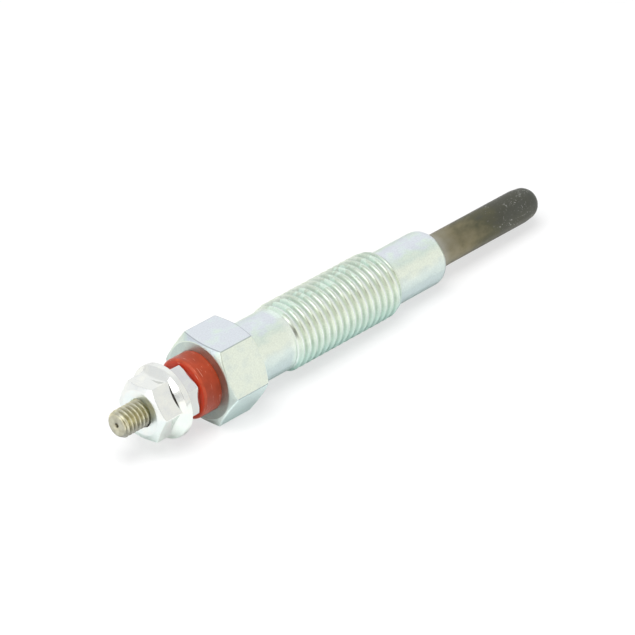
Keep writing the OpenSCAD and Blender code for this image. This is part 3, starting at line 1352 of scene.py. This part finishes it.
@dataclass
class CentreRod:
    """Turned rod that is the terminal stud at one end and the coils' pin at the other."""

    crest: float = STUD_THREAD.crest
    chamfer: float = 0.35
    face_rise: float = 0.1
    face_soft: float = 0.12
    mark: float = 0.32
    mark_soft: float = 0.05
    mark_depth: float = 0.5
    mark_taper: float = 3.0
    mark_point: float = 1.2
    lead_soft: float = 0.1
    thread_end: float = 0.5
    in_bush: float = 1.0
    rod: float = 1.7
    tail: float = 1.4
    pin: float = 1.0
    shoulder_gap: float = 1.0
    pin_length: float = 2.8
    columns: int = 96

    def build(self, frame: PlugFrame) -> bpy.types.Object:
        """Make the rod and dress it.

        Args:
            frame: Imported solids.

        Returns:
            The rod.
        """
        span = frame.span("centre_rod")
        stud_end = frame.span("insulating_bush").start + self.in_bush
        shoulder = frame.span("heater_tube").start - self.shoulder_gap
        pin_start = span.end - self.pin_length
        face = self.crest - self.chamfer
        start = span.start + STUD_FACE
        mesh = TurnedMesh(even_columns(self.columns), frame.axis_height)
        front = mesh.strip(
            [
                Corner(span.start + self.mark_depth, self.mark / self.mark_taper),
                Corner(span.start, self.mark, self.mark_soft),
                Corner(span.start, face, self.face_soft),
                Corner(start, face + self.face_rise),
            ]
        )
        mesh.close(front[0], span.start + self.mark_depth * self.mark_point)
        back = mesh.strip(
            [
                Corner(stud_end, self.crest),
                Corner(stud_end, self.rod),
                Corner(shoulder, self.rod),
                Corner(shoulder, self.tail),
                Corner(pin_start, self.tail),
                Corner(pin_start, self.pin),
                Corner(span.end, self.pin),
            ]
        )
        mesh.close(back[1], span.end)

        def trim(stations: np.ndarray, radius: float) -> np.ndarray:
            """Let the thread rise out of the chamfer and end at the rod's shoulder.

            Args:
                stations: Stations on one row of the thread.
                radius: Radius of the row.

            Returns:
                Radii at the stations.
            """
            lead = face + self.face_rise + (stations - start)
            cut = lesser(np.full_like(stations, radius), lead, self.lead_soft)
            return cut + (self.crest - cut) * eased((stations - stud_end) / self.thread_end + 1)

        mesh.wind((front[1], back[0]), (start, stud_end), STUD_THREAD, trim)
        finish = RodFinish(
            name="rod_steel_finish",
            # Steel's tinge with painted light and shade, from faces that look down to faces that look up
            steel_and_shade=(
                (0.0, (0.34, 0.34, 0.30)),
                (0.3, (0.36, 0.36, 0.305)),
                (0.5, (0.52, 0.51, 0.40)),
                (0.74, (0.84, 0.80, 0.57)),
                (0.92, (0.68, 0.65, 0.46)),
                (1.0, (0.62, 0.61, 0.49)),
            ),
            tarnish=(0.74, 0.72, 0.68),
            # Painted shade in the centre mark
            dimple_shade=(0.3, 0.28, 0.25),
            dimple_edge=(0.25, 0.42),
            ring_pitch=0.12,
            ring_waver=0.6,
            roughness=(0.28, 0.36),
            grain=0.012,
            grain_share=0.4,
            axis_height=frame.axis_height,
        )
        return dress(mesh.build("terminal_rod"), "centre_rod", finish)


BRIGHT_ZINC = ZincFinish(
    name="bright_zinc_finish",
    # Film tint with painted light and shade, from faces that look down to faces that look up
    film_and_shade=(
        (0.0, (0.78, 0.87, 0.80)),
        (0.45, (0.83, 0.88, 0.84)),
        (0.75, (0.88, 0.88, 0.81)),
        (1.0, (0.80, 0.81, 0.78)),
    ),
    drift=0.2,
    roughness=(0.07, 0.12),
    grain=0.001,
    speckle=(0.98, 1.01),
    edge=(0.86, 0.86, 0.86),
    # Bluish cast painted on the reflections in the front faces
    front=((0.0, (0.96, 0.97, 1.0)), (1.0, (0.96, 0.97, 1.0))),
    front_rough=0.22,
)

# Copy of the bright plating with painted shade, darker all over, for the jam nut
SHADED_ZINC = replace(
    BRIGHT_ZINC,
    name="dull_zinc_finish",
    film_and_shade=(
        (0.0, (0.53, 0.56, 0.58)),
        (0.5, (0.615, 0.63, 0.605)),
        (0.85, (0.74, 0.75, 0.72)),
        (1.0, (0.70, 0.70, 0.70)),
    ),
)

ZINC_PLATE = ZincFinish(
    name="zinc_plate_finish",
    # Film tint with painted light and shade, from faces that look down to faces that look up
    film_and_shade=(
        (0.0, (0.53, 0.65, 0.63)),
        (0.25, (0.60, 0.72, 0.70)),
        (0.37, (0.54, 0.63, 0.63)),
        (0.5, (0.55, 0.64, 0.625)),
        (0.63, (0.69, 0.77, 0.72)),
        (0.75, (0.86, 0.91, 0.78)),
        (0.85, (0.84, 0.89, 0.76)),
        (0.933, (0.71, 0.805, 0.71)),
        (0.983, (0.71, 0.77, 0.78)),
        (1.0, (0.70, 0.735, 0.775)),
    ),
    drift=0.05,
    roughness=(0.28, 0.32),
    grain=0.004,
    speckle=(0.93, 1.05),
    edge=(0.84, 0.85, 0.86),
    # Painted shade on the front faces, darkest where they lean down
    front=(
        (0.0, (0.5, 0.48, 0.45)),
        (0.13, (0.94, 0.94, 0.92)),
        (0.5, (0.9, 0.9, 0.86)),
        (0.8, (0.84, 0.87, 0.90)),
        (1.0, (0.84, 0.87, 0.90)),
    ),
    front_rough=0.1,
)


@dataclass
class FlangeNut:
    """Hexagon nut that is forged in one piece with its flange."""

    across_flats: float = 8.0
    corner_round: float = 0.18
    turn: float = 22.0
    flange_rim: float = 0.9
    flange_rise: float = 0.8
    flange_soft: float = 0.45
    flange_share: float = 0.8
    rim_bevel: float = 0.06
    rim_drop: float = 0.16
    rim_soft: float = 0.08
    cone_soft: float = 0.02
    inset: float = 0.7
    chamfer_angle: float = 20.0
    face_soft: float = 0.12
    fine_soft: float = 0.06
    bore: float = 2.0
    mouth: float = 0.1
    mouth_slope: float = 2.0
    gap: float = 0.03
    on_flat: int = 17
    on_corner: int = 4

    def build(self, frame: PlugFrame) -> bpy.types.Object:
        """Make the nut and dress it.

        Args:
            frame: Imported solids.

        Returns:
            The nut.
        """
        span = frame.span("terminal_nut")
        hexagon = Hexagon(self.across_flats, self.corner_round, self.turn)
        angles = hexagon.columns(self.on_flat, self.on_corner)
        sides = hexagon.radius(angles)
        face = self.across_flats / 2 - self.inset
        rim_start = span.end - self.flange_rim
        cone_edge = span.reach - self.rim_bevel
        slope = self.flange_rise / (cone_edge - self.across_flats / 2)
        cone_start = rim_start - (cone_edge - sides) * slope
        mesh = TurnedMesh(angles, frame.axis_height)
        first, last = mesh.strip(
            [
                Corner(span.start + self.mouth, self.bore),
                Corner(span.start, self.bore + self.mouth, self.fine_soft),
                Corner(span.start, face, self.face_soft),
                Corner(span.start + chamfer_length(sides, face, self.chamfer_angle), sides, self.fine_soft),
                Corner(cone_start, sides, self.flange_soft, self.flange_share),
                Corner(rim_start, cone_edge, self.cone_soft),
                Corner(rim_start + self.rim_drop, span.reach, self.fine_soft),
                Corner(span.end - self.rim_bevel, span.reach, self.rim_soft),
                Corner(span.end, cone_edge, self.rim_soft),
                Corner(span.end, self.bore + self.mouth, self.fine_soft),
                Corner(span.end - self.mouth, self.bore),
            ]
        )
        reach = (span.start + self.mouth, span.end - self.mouth)
        stud_start = frame.span("centre_rod").start + STUD_FACE

        def trim(stations: np.ndarray, radius: float) -> np.ndarray:
            """Cut the thread off at both mouths of the bore."""
            inwards = np.minimum(stations - reach[0], reach[1] - stations)
            return np.maximum(radius, self.bore - self.mouth_slope * inwards)

        mesh.wind((first, last), reach, STUD_THREAD.mate(self.gap, stud_start - reach[0]), trim)
        return dress(mesh.build("flange_nut"), "terminal_nut", BRIGHT_ZINC)


@dataclass
class JamNut:
    """Thin hexagon nut that clamps the bush."""

    across_flats: float = 7.0
    corner_round: float = 0.15
    turn: float = 56.0
    inset: float = 0.1
    chamfer_angle: float = 22.0
    front_soft: float = 0.1
    rear_soft: float = 0.2
    fine_soft: float = 0.06
    bore: float = 2.0
    mouth: float = 0.25
    on_flat: int = 15
    on_corner: int = 4

    def build(self, frame: PlugFrame) -> bpy.types.Object:
        """Make the nut and dress it.

        Args:
            frame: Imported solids.

        Returns:
            The nut.
        """
        span = frame.span("jam_nut")
        hexagon = Hexagon(self.across_flats, self.corner_round, self.turn)
        angles = hexagon.columns(self.on_flat, self.on_corner)
        sides = hexagon.radius(angles)
        face = self.across_flats / 2 - self.inset
        fall = chamfer_length(sides, face, self.chamfer_angle)
        mesh = TurnedMesh(angles, frame.axis_height)
        first, last = mesh.strip(
            [
                Corner(span.start + self.mouth, self.bore),
                Corner(span.start, self.bore + self.mouth, self.fine_soft),
                Corner(span.start, face, self.fine_soft),
                Corner(span.start + fall, sides, self.front_soft),
                Corner(span.end - fall, sides, self.rear_soft),
                Corner(span.end, face, self.fine_soft),
                Corner(span.end, self.bore + self.mouth, self.fine_soft),
                Corner(span.end - self.mouth, self.bore),
            ]
        )
        mesh.join(last, first)
        return dress(mesh.build("clamp_nut"), "jam_nut", SHADED_ZINC)


@dataclass
class InsulatingBush:
    """Moulded bush that keeps the stud and its nuts off the shell."""

    edge_round: float = 0.5
    rear_round: float = 0.06
    round_steps: int = 8
    bore: float = 2.05
    spigot: float = 3.15
    spigot_soft: float = 0.15
    columns: int = 128

    def build(self, frame: PlugFrame) -> bpy.types.Object:
        """Make the bush and dress it.

        Args:
            frame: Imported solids.

        Returns:
            The bush.
        """
        span = frame.span("insulating_bush")
        seat = frame.span("plug_shell").start
        inner = span.reach - self.edge_round
        rear_inner = span.reach - self.rear_round
        mesh = TurnedMesh(even_columns(self.columns), frame.axis_height)
        first, last = mesh.strip(
            [
                Corner(span.start, self.bore),
                *arc(span.start + self.edge_round, inner, self.edge_round, (-90, 0), self.round_steps),
                *arc(seat - self.rear_round, rear_inner, self.rear_round, (0, 90), self.round_steps),
                Corner(seat, self.spigot),
                Corner(span.end, self.spigot, self.spigot_soft),
                Corner(span.end, self.bore),
            ]
        )
        mesh.join(last, first)
        finish = MouldingFinish(
            name="red_moulding_finish",
            body=(0.39, 0.052, 0.018),
            deep=(0.32, 0.043, 0.0145),
            scratch=(0.74, 0.36, 0.26),
            scratch_share=(0.0, 0.8),
            # Painted highlight on the rounded front edge
            rim_highlight=(0.52, 0.08, 0.035),
            rim_highlight_share=(0.2, 0.8),
            # Painted light on the front face
            painted_front_light=(0.55, 0.04, 0.011),
            roughness=(0.28, 0.42),
            gloss=0.3,
            grain=0.006,
        )
        return dress(mesh.build("red_bush"), "insulating_bush", finish)


@dataclass
class PlugShell:
    """Hexagon, shank, threaded length and nose in one turned piece, bored right through."""

    corner_round: float = 0.25
    turn: float = 30.0
    hex_length: float = 7.0
    inset: float = 0.3
    front_angle: float = 23.0
    rear_angle: float = 30.0
    face_soft: float = 0.12
    side_soft: float = 0.18
    fillet: float = 0.45
    shank: float = 4.525
    shank_length: float = 6.3
    crest: float = 4.95
    root: float = 4.3
    pitch: float = 1.25
    first_crest: float = 0.99
    crest_share: float = 0.18
    root_share: float = 0.12
    rows: int = 18
    thread_length: float = 21.8
    plain: float = 0.45
    runout: float = 1.4
    lead: float = 2.4
    lead_rise: float = 0.1
    lead_soft: float = 0.12
    film_before: float = 0.25
    film_after: float = 0.05
    # Heights above the root where the painted root light is whole and where it has faded
    root_light_rise: Pair = (0.08, 0.3)
    nose: float = 4.075
    nose_round: float = 1.8
    nose_steps: int = 12
    counterbore: float = 3.2
    counterbore_depth: float = 5.0
    rod_bore: float = 2.3
    on_flat: int = 19
    on_corner: int = 5

    def build(self, frame: PlugFrame) -> bpy.types.Object:
        """Make the shell and dress it.

        Args:
            frame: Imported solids.

        Returns:
            The shell.
        """
        span = frame.span("plug_shell")
        hexagon = Hexagon(frame.across_flats, self.corner_round, self.turn)
        angles = hexagon.columns(self.on_flat, self.on_corner)
        hex_end = span.start + self.hex_length
        thread_start = hex_end + self.shank_length
        nose_start = thread_start + self.thread_length
        mesh = TurnedMesh(angles, frame.axis_height)
        front = mesh.strip(self._head(span.start, hex_end, thread_start, hexagon.radius(angles)))
        back = mesh.strip(self._nose_and_bore(nose_start, span, frame.span("heater_tube")))
        mesh.join(back[1], front[0])
        thread = ScrewThread(
            crest=self.crest,
            root=self.root,
            pitch=self.pitch,
            first_crest=self.first_crest,
            crest_share=self.crest_share,
            root_share=self.root_share,
            rows=self.rows,
        )

        def trim(stations: np.ndarray, radius: float) -> np.ndarray:
            """Let the thread run out into the shank and round it off towards the nose.

            Args:
                stations: Stations on one row of the thread.
                radius: Radius of the row.

            Returns:
                Radii at the stations.
            """
            depth = eased((stations - thread_start - self.plain) / self.runout)
            grown = self.shank + (radius - self.shank) * depth
            share = np.clip((stations - nose_start) / self.lead + 1, 0, 1)
            limit = self.nose + (self.crest + self.lead_rise - self.nose) * np.sqrt(1 - share**2)
            return lesser(grown, limit, self.lead_soft)

        mesh.wind((front[1], back[0]), (thread_start, nose_start), thread, trim)
        finish = self._finish((span.start, hex_end), (thread_start, nose_start), frame.axis_height)
        return dress(mesh.build("zinc_shell"), "plug_shell", finish)

    def _head(self, start: float, hex_end: float, shank_end: float, sides: np.ndarray) -> list[Corner]:
        """Outline the hexagon and the shank.

        Args:
            start: Station of the hexagon's front face.
            hex_end: Station of the hexagon's rear face.
            shank_end: Station where the thread starts.
            sides: Distance of the hexagon's sides from the axis, for every column.

        Returns:
            Corners from the mouth of the counterbore to the thread.
        """
        face = sides.min() - self.inset
        return [
            Corner(start, self.counterbore),
            Corner(start, face, self.face_soft),
            Corner(start + chamfer_length(sides, face, self.front_angle), sides, self.side_soft),
            Corner(hex_end - chamfer_length(sides, face, self.rear_angle), sides, self.side_soft),
            Corner(hex_end, face, self.face_soft),
            Corner(hex_end, self.shank, self.fillet),
            Corner(shank_end, self.shank),
        ]

    def _nose_and_bore(self, nose_start: float, span: Span, tube: Span) -> list[Corner]:
        """Outline the nose and the stepped bore.

        Args:
            nose_start: Station where the thread ends.
            span: Reach of the shell.
            tube: Reach of the heater tube.

        Returns:
            Corners from the end of the thread, round the end of the nose and back through the bore.
        """
        centre = self.nose - self.nose_round
        sweep = math.degrees(math.acos((tube.reach - centre) / self.nose_round))
        round_start = span.end - self.nose_round * math.sin(math.radians(sweep))
        counterbore_end = span.start + self.counterbore_depth
        return [
            Corner(nose_start, self.nose),
            *arc(round_start, centre, self.nose_round, (0, sweep), self.nose_steps),
            Corner(tube.start, tube.reach),
            Corner(tube.start, self.rod_bore),
            Corner(counterbore_end, self.rod_bore),
            Corner(counterbore_end, self.counterbore),
        ]

    def _finish(self, hex_reach: Pair, thread_reach: Pair, axis_height: float) -> ZincFinish:
        """Fit the plating to the hexagon and the thread.

        Args:
            hex_reach: Stations of the hexagon's front and rear face.
            thread_reach: Stations where the thread starts and ends.
            axis_height: Height of the plug's axis.

        Returns:
            The finish of the shell.
        """
        # Painted shade along the hexagon's edges and painted light on its lower flats
        edges = HexEdges(*hex_reach, tint=(0.62, 0.64, 0.65), lower=(0.80, 0.93, 0.90))
        thread = RolledStretch(
            start=thread_reach[0] - self.film_before,
            end=thread_reach[1] + self.film_after,
            # Film tint of the thread with painted light and shade, from faces that look down to faces that
            # look up
            film_and_shade=(
                (0.0, (0.49, 0.69, 0.62)),
                (0.25, (0.54, 0.73, 0.66)),
                (0.5, (0.58, 0.69, 0.60)),
                (0.75, (0.90, 0.96, 0.80)),
                (0.85, (0.87, 0.93, 0.76)),
                (0.933, (0.74, 0.80, 0.70)),
                (0.983, (0.60, 0.69, 0.565)),
                (1.0, (0.74, 0.88, 0.76)),
            ),
            polish=0.98,
            grain=0.3,
            # Painted light in the thread's roots
            painted_root_light=(0.92, 0.96, 0.94),
            roots=(self.root + self.root_light_rise[0], self.root + self.root_light_rise[1]),
            axis_height=axis_height,
        )
        return replace(ZINC_PLATE, edges=edges, thread=thread)


@dataclass
class HeaterTube:
    """Closed sheath of the heater, with its space for the coils."""

    wall: float = 0.5
    dome: float = 2.3
    dome_sweep: Pair = (87.0, 0.0)
    dome_steps: int = 24
    swaged: float = 2.36
    swage: float = 3.2
    swage_soft: float = 0.4
    tip_thickness: float = 1.3
    inner_steps: int = 10
    columns: int = 96

    def build(self, frame: PlugFrame) -> bpy.types.Object:
        """Make the tube and dress it.

        Args:
            frame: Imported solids.

        Returns:
            The tube.
        """
        span = frame.span("heater_tube")
        bore = span.reach - self.wall
        dome_start = span.end - self.dome
        dome_stretch = self.dome / self.swaged
        inner_dome = span.end - span.reach
        weld = span.end - self.tip_thickness
        weld_angle = math.degrees(math.asin((weld - inner_dome) / bore))
        mesh = TurnedMesh(even_columns(self.columns), frame.axis_height)
        outer_tip, inner_tip = mesh.strip(
            [
                *arc(dome_start, 0.0, self.swaged, self.dome_sweep, self.dome_steps, dome_stretch),
                Corner(span.end - self.swage, span.reach, self.swage_soft),
                Corner(span.start, span.reach),
                Corner(span.start, bore),
                *arc(inner_dome, 0.0, bore, (0, weld_angle), self.inner_steps),
            ]
        )
        mesh.close(outer_tip, span.end)
        mesh.close(inner_tip, weld)
        finish = HeaterFinish(
            name="heater_alloy_finish",
            start=frame.span("plug_shell").end,
            end=span.end,
            stain=(
                (0.0, (0.27, 0.25, 0.18)),
                (0.1, (0.25, 0.225, 0.15)),
                (0.25, (0.21, 0.187, 0.115)),
                (0.42, (0.116, 0.113, 0.073)),
                (0.58, (0.097, 0.097, 0.077)),
                (1.0, (0.106, 0.109, 0.095)),
            ),
            stray=0.16,
            pale=(0.50, 0.49, 0.45),
            # Painted light on the lower side of the tube
            painted_underside_light=(0.37, 0.37, 0.32),
            scuff=(0.34, 0.34, 0.31),
            edge=(0.75, 0.75, 0.74),
            roughness=(0.3, 0.42),
            grain=0.005,
        )
        return dress(mesh.build("heater_sheath"), "heater_tube", finish)


@dataclass
class HiddenPieces:
    """Solids inside the plug, which stay as they are and only get a finish.

    Attributes:
        rubber: Finish of the two rings.
        wire: Finish of the two coils.
        powder: Finish of the powder.
    """

    rubber: InnerFinish = InnerFinish(
        name="black_rubber_finish",
        body=(0.02, 0.02, 0.02),
        deep=(0.01, 0.01, 0.01),
        metallic=0.0,
        roughness=(0.5, 0.7),
        grain=0.01,
    )
    wire: InnerFinish = InnerFinish(
        name="coil_alloy_finish",
        body=(0.34, 0.22, 0.11),
        deep=(0.26, 0.17, 0.09),
        metallic=1.0,
        roughness=(0.3, 0.45),
        grain=0.003,
    )
    powder: InnerFinish = InnerFinish(
        name="pressed_powder_finish",
        body=(0.82, 0.8, 0.72),
        deep=(0.74, 0.72, 0.64),
        metallic=0.0,
        roughness=(0.8, 0.95),
        grain=0.03,
    )

    def dress(self, frame: PlugFrame) -> list[bpy.types.Object]:
        """Give every inner solid its finish.

        Args:
            frame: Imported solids.

        Returns:
            The solids that have a finish now.
        """
        groups = (
            (self.rubber, ("o_ring", "tube_seal")),
            (self.wire, ("control_coil", "heating_coil")),
            (self.powder, ("insulating_powder",)),
        )
        dressed = []
        for finish, nodes in groups:
            material = finish.material()
            for node in nodes:
                solid = frame.packed["nodes"][node]
                solid.data.materials.clear()
                solid.data.materials.append(material)
                dressed.append(solid)
        return dressed


def looking(place: Vector, aim: Vector) -> Matrix:
    """Stand at a place and look at another one."""
    return Matrix.Translation(place) @ (aim - place).to_track_quat("-Z", "Y").to_matrix().to_4x4()


@dataclass(frozen=True)
class TentPatch:
    """Round patch of the light tent that is darker or brighter than the rest.

    Attributes:
        colour: Colour of its light in reflections.
        aim: Direction of its middle.
        edge: Angles from its middle where it starts to fade and where it ends, in degrees.
    """

    colour: Triple
    aim: Triple
    edge: Pair

    def share(self, sheet: NodeTree, direction: Socket) -> Socket:
        """Mark the patch.

        Args:
            sheet: Node tree of the world.
            direction: Direction that is looked in.

        Returns:
            1 in the patch and 0 outside it.
        """
        facing = sheet.vector("DOT_PRODUCT", direction, Vector(self.aim).normalized())["Value"]
        inner, outer = (math.cos(math.radians(angle)) for angle in self.edge)
        return sheet.mapped(facing, (outer, inner), RISE, "SMOOTHSTEP")


@dataclass(frozen=True)
class Softbox:
    """Lamp that faces the plug.

    Attributes:
        name: Name of the lamp.
        place: Place of its middle.
        size: Width and height.
        power: Power in watts.
        mirrored: Whether reflections show it.
    """

    name: str
    place: Triple
    size: Pair
    power: float
    mirrored: bool = True

    def hang(self, aim: Vector) -> None:
        """Hang the lamp.

        Args:
            aim: Point that it faces.
        """
        data = bpy.data.lights.new(self.name, "AREA")
        data.shape = "RECTANGLE"
        data.size = self.size[0] * MM
        data.size_y = self.size[1] * MM
        data.energy = self.power
        lamp = placed(self.name, data)
        lamp.matrix_world = looking(Vector(self.place) * MM, aim)
        lamp.visible_glossy = self.mirrored


@dataclass
class Studio:
    """White sweep in a light tent, and a camera that looks down on the plug from the stud's end.

    Attributes:
        camera_place: Place of the camera.
        camera_aim: Point at the middle of the picture, which the lamps face too.
        camera_roll: Turn of the camera about its own axis, in degrees.
        camera_clip: Nearest and farthest distance that the camera sees, in metres.
        lens: Focal length on a sensor of 36 mm.
        floor_touch: Station and height of the edge of the hexagon that touches the floor.
        floor_tilt: Slope of the floor below the plug, which also rests on its thread, in degrees.
        floor_size: Length of the floor's sides.
        floor_paint: Colour of the floor.
        floor_glow: Share of white glow in the floor, as the camera sees it.
        mirror_glow: Share of white glow in the floor, as reflections see it.
        tent: Colour of the tent's light.
        tent_fill: Share of the tent's light that falls on dull surfaces.
        far_side: Brighter side of the tent, behind the plug.
        opening: Dark opening of the tent, next to the camera.
        lamps: Softboxes round the plug.
    """

    camera_place: Triple = (-339.12, -315.69, 310.0)
    camera_aim: Triple = (-2.50, 0.67, 5.09)
    camera_roll: float = 1.70
    camera_clip: Pair = (0.01, 10.0)
    lens: float = 228.64
    floor_touch: Pair = (-19.12, 0.0)
    floor_tilt: float = 2.2
    floor_size: float = 4000.0
    floor_paint: Triple = (0.96, 0.96, 0.96)
    floor_glow: float = 0.63
    mirror_glow: float = 0.2
    tent: Triple = (0.92, 0.93, 0.94)
    tent_fill: float = 0.42
    far_side: TentPatch = TentPatch(colour=(1.09, 1.10, 1.11), aim=(0.6, 0.65, 0.45), edge=(12.0, 60.0))
    opening: TentPatch = TentPatch(
        colour=(0.05, 0.046, 0.042), aim=(-0.803, -0.493, 0.328), edge=(16.0, 22.0)
    )
    lamps: tuple[Softbox, ...] = (
        Softbox("overhead_softbox", (-220.0, -60.0, 610.0), (420.0, 420.0), 3.8, mirrored=False),
        Softbox("key_softbox", (-710.0, -11.0, 369.0), (360.0, 430.0), 0.8),
        Softbox("low_softbox", (-760.0, 170.0, 60.0), (300.0, 200.0), 0.3),
    )

    def build(self) -> None:
        """Make the camera, the floor, the world and the lamps."""
        self._camera()
        self._floor()
        self._world()
        for lamp in self.lamps:
            lamp.hang(Vector(self.camera_aim) * MM)
        bpy.context.scene.view_settings.view_transform = "Standard"

    def _camera(self) -> None:
        """Place the camera and make it the scene's own."""
        data = bpy.data.cameras.new("camera")
        data.lens = self.lens
        data.clip_start, data.clip_end = self.camera_clip
        camera = placed("camera", data)
        roll = Matrix.Rotation(math.radians(self.camera_roll), 4, "Z")
        camera.matrix_world = looking(Vector(self.camera_place) * MM, Vector(self.camera_aim) * MM) @ roll
        bpy.context.scene.camera = camera

    def _floor(self) -> None:
        """Lay a white floor that shows white to the camera and keeps the plug's shadow."""
        half = self.floor_size / 2
        slope = math.tan(math.radians(self.floor_tilt))
        station, height = self.floor_touch
        corners = ((-half, -half), (half, -half), (half, half), (-half, half))
        points = [(x * MM, y * MM, (height + (x - station) * slope) * MM) for x, y in corners]
        mesh = bpy.data.meshes.new("floor")
        mesh.from_pydata(points, [], [(0, 1, 2, 3)])
        mesh.materials.append(self._floor_material())
        floor = placed("floor", mesh)
        floor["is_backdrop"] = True

    def _floor_material(self) -> bpy.types.Material:
        """Mix white paint with a white glow that only the camera, reflections and glass see.

        Returns:
            The floor's material.
        """
        material = bpy.data.materials.new("white_floor")
        sheet = NodeTree(material)
        path = sheet.add("ShaderNodeLightPath").outputs
        share = sheet.times(path["Is Camera Ray"], self.floor_glow)
        for ray in ("Is Glossy Ray", "Is Transmission Ray"):
            share = sheet.scalar("MAXIMUM", share, sheet.times(path[ray], self.mirror_glow))
        paint = sheet.shader("ShaderNodeBsdfDiffuse", Color=self.floor_paint)
        glow = sheet.shader("ShaderNodeEmission", Strength=1.0)
        sheet.show("ShaderNodeOutputMaterial", sheet.layered(share, paint, glow))
        return material

    def _world(self) -> None:
        """Light the plug from all round like a tent, with a dark opening next to the camera."""
        world = bpy.data.worlds.new("light_tent")
        bpy.context.scene.world = world
        sheet = NodeTree(world)
        direction = sheet.add("ShaderNodeTexCoord").outputs["Generated"]
        tent = self.tent
        for patch in (self.far_side, self.opening):
            tent = sheet.mixed(patch.share(sheet, direction), tent, patch.colour)
        mirrored = sheet.shader("ShaderNodeBackground", Color=tent)
        white = sheet.shader("ShaderNodeBackground", Color=(1.0, 1.0, 1.0))
        shown = sheet.shader("ShaderNodeBackground", Color=self.tent, Strength=self.tent_fill)
        path = sheet.add("ShaderNodeLightPath").outputs
        layers = (("Is Glossy Ray", mirrored), ("Is Transmission Ray", mirrored), ("Is Camera Ray", white))
        for ray, light in layers:
            shown = sheet.layered(path[ray], shown, light)
        sheet.show("ShaderNodeOutputWorld", shown)


def main() -> None:
    """Build the plug and its studio."""
    logging.basicConfig(level=logging.INFO, format="%(name)s %(message)s")
    frame = PlugFrame()
    Studio().build()
    parts = (CentreRod(), FlangeNut(), JamNut(), InsulatingBush(), PlugShell(), HeaterTube())
    pieces = [part.build(frame) for part in parts]
    pieces.extend(HiddenPieces().dress(frame))
    for piece in pieces:
        LOG.info("%s: %d faces, %s", piece.name, len(piece.data.polygons), piece.data.materials[0].name)


if __name__ == "__main__":
    main()
